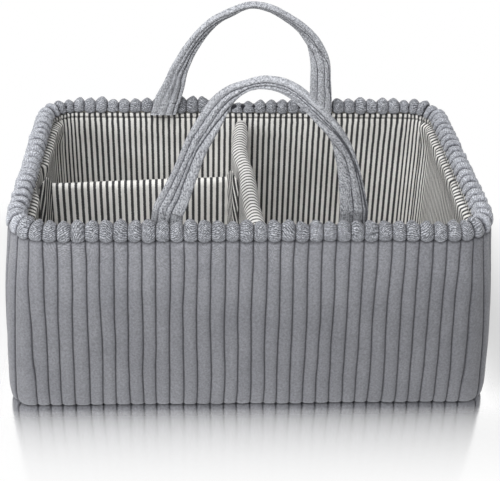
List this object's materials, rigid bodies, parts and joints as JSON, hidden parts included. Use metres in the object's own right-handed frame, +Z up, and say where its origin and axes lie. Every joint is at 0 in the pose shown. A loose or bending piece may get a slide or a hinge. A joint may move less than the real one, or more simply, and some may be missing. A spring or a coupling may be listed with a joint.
{
  "type": "changing table organizer",
  "caption": "Soft storage caddy: a box of ribbed plush with a rolled rim, arched carry handles, a striped lining and padded dividers.",
  "frame": {"origin": "on the floor under the middle of the box", "axes": "+X to the right, +Y from the front to the back, +Z up"},
  "size_m": [0.4026, 0.2676, 0.2729],
  "materials": {
    "plush": "wide-ribbed polyester plush, soft and matte",
    "ticking": "striped woven cotton",
    "wadding": "loose polyester wadding",
    "board": "stiffening sheet, matte",
    "webbing": "woven webbing",
    "hook_tape": "hook-and-loop tape"
  },
  "bodies": {
    "caddy": {"front_cover": "plush", "front_padding": "wadding", "front_board": "board", "front_lining": "ticking", "front_rim": "plush", "right_cover": "plush", "right_padding": "wadding", "right_board": "board", "right_lining": "ticking", "right_rim": "plush", "back_cover": "plush", "back_padding": "wadding", "back_board": "board", "back_lining": "ticking", "back_rim": "plush", "left_cover": "plush", "left_padding": "wadding", "left_board": "board", "left_lining": "ticking", "left_rim": "plush", "base_cover": "plush", "base_board": "board", "base_lining": "ticking", "front_handle_left_end": "plush", "front_handle_right_end": "plush", "back_handle_left_end": "plush", "back_handle_right_end": "plush", "centre_divider_cover": "ticking", "centre_divider_foam": "wadding", "centre_divider_front_hook_tape": "hook_tape", "front_lining_loop_tape": "hook_tape", "centre_divider_back_hook_tape": "hook_tape", "back_lining_loop_tape": "hook_tape", "centre_divider_loop_tape": "hook_tape", "left_lining_loop_tape": "hook_tape"},
    "front_handle_strap": {"front_handle": "plush", "front_handle_webbing": "webbing"},
    "back_handle_strap": {"back_handle": "plush", "back_handle_webbing": "webbing"},
    "cross_divider": {"cross_divider_cover": "ticking", "cross_divider_board": "board", "cross_divider_right_flap": "ticking", "cross_divider_right_hook_tape": "hook_tape", "cross_divider_left_flap": "ticking", "cross_divider_left_hook_tape": "hook_tape"}
  },
  "joints": [
    {"name": "front_handle_swing", "type": "hinge", "parent": "caddy", "child": "front_handle_strap", "pos_m": [0.0065, -0.1082, 0.1732], "axis": [1, 0, 0], "range_deg": [-70, 110]},
    {"name": "back_handle_swing", "type": "hinge", "parent": "caddy", "child": "back_handle_strap", "pos_m": [0.001, 0.1082, 0.1732], "axis": [-1, 0, 0], "range_deg": [-90, 90]},
    {"name": "cross_divider_lift", "type": "slide", "parent": "caddy", "child": "cross_divider", "axis": [0, 0, 1], "range_m": [0, 0.18]}
  ]
}
